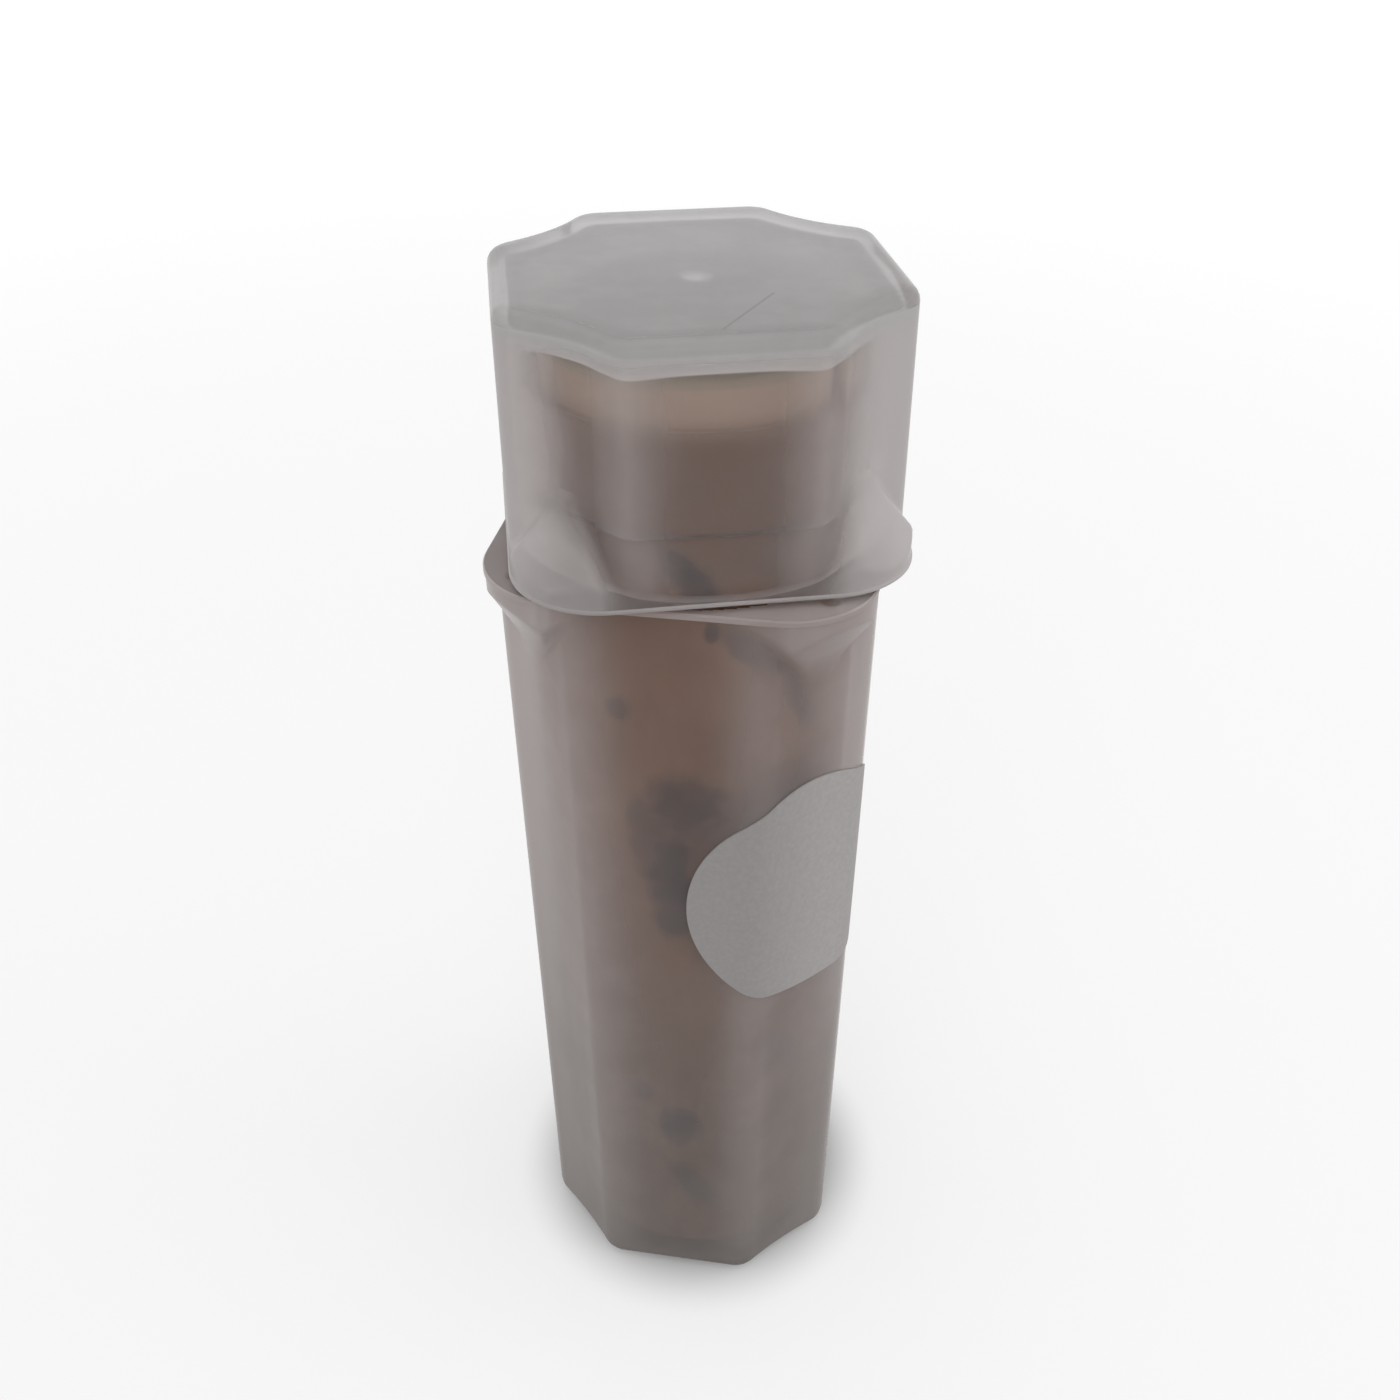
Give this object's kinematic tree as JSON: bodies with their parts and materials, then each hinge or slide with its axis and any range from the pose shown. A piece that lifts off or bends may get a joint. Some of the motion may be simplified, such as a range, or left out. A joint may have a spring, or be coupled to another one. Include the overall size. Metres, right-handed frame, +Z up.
{
  "type": "coin roll in a capped tube",
  "caption": "Crimped paper roll of small coins kept upright in a frosted scalloped plastic tube with a flanged push-on cap and a round blank label.",
  "frame": {"origin": "under the middle of the tube's base, on the surface that it stands on", "axes": "+Z up the tube, X and Y square to the tube's flats, the label between the flats at -Y and +X"},
  "size_m": [0.0284, 0.0284, 0.0827],
  "materials": {
    "frosted_plastic": "frosted translucent polyethylene",
    "kraft_paper": "brown kraft paper",
    "white_paper": "matt white label",
    "copper": "worn bronze coin"
  },
  "bodies": {
    "tube": {"tube": "frosted_plastic", "round_label": "white_paper"},
    "roll": {"paper_wrapper": "kraft_paper", "coin_01": "copper", "coin_02": "copper", "coin_03": "copper", "coin_04": "copper", "coin_05": "copper", "coin_06": "copper", "coin_07": "copper", "coin_08": "copper", "coin_09": "copper", "coin_10": "copper", "coin_11": "copper", "coin_12": "copper", "coin_13": "copper", "coin_14": "copper", "coin_15": "copper", "coin_16": "copper", "coin_17": "copper", "coin_18": "copper", "coin_19": "copper", "coin_20": "copper", "coin_21": "copper", "coin_22": "copper", "coin_23": "copper", "coin_24": "copper", "coin_25": "copper", "coin_26": "copper", "coin_27": "copper", "coin_28": "copper", "coin_29": "copper", "coin_30": "copper", "coin_31": "copper", "coin_32": "copper", "coin_33": "copper", "coin_34": "copper", "coin_35": "copper", "coin_36": "copper", "coin_37": "copper", "coin_38": "copper", "coin_39": "copper", "coin_40": "copper", "coin_41": "copper", "coin_42": "copper", "coin_43": "copper", "coin_44": "copper", "coin_45": "copper", "coin_46": "copper", "coin_47": "copper", "coin_48": "copper", "coin_49": "copper", "coin_50": "copper"},
    "cap": {"cap": "frosted_plastic"}
  },
  "joints": [
    {"name": "roll_lift", "type": "slide", "parent": "tube", "child": "roll", "axis": [0, 0, 1], "range_m": [0, 0.08]},
    {"name": "cap_pull", "type": "slide", "parent": "roll", "child": "cap", "axis": [0, 0, 1], "range_m": [0, 0.025]}
  ]
}
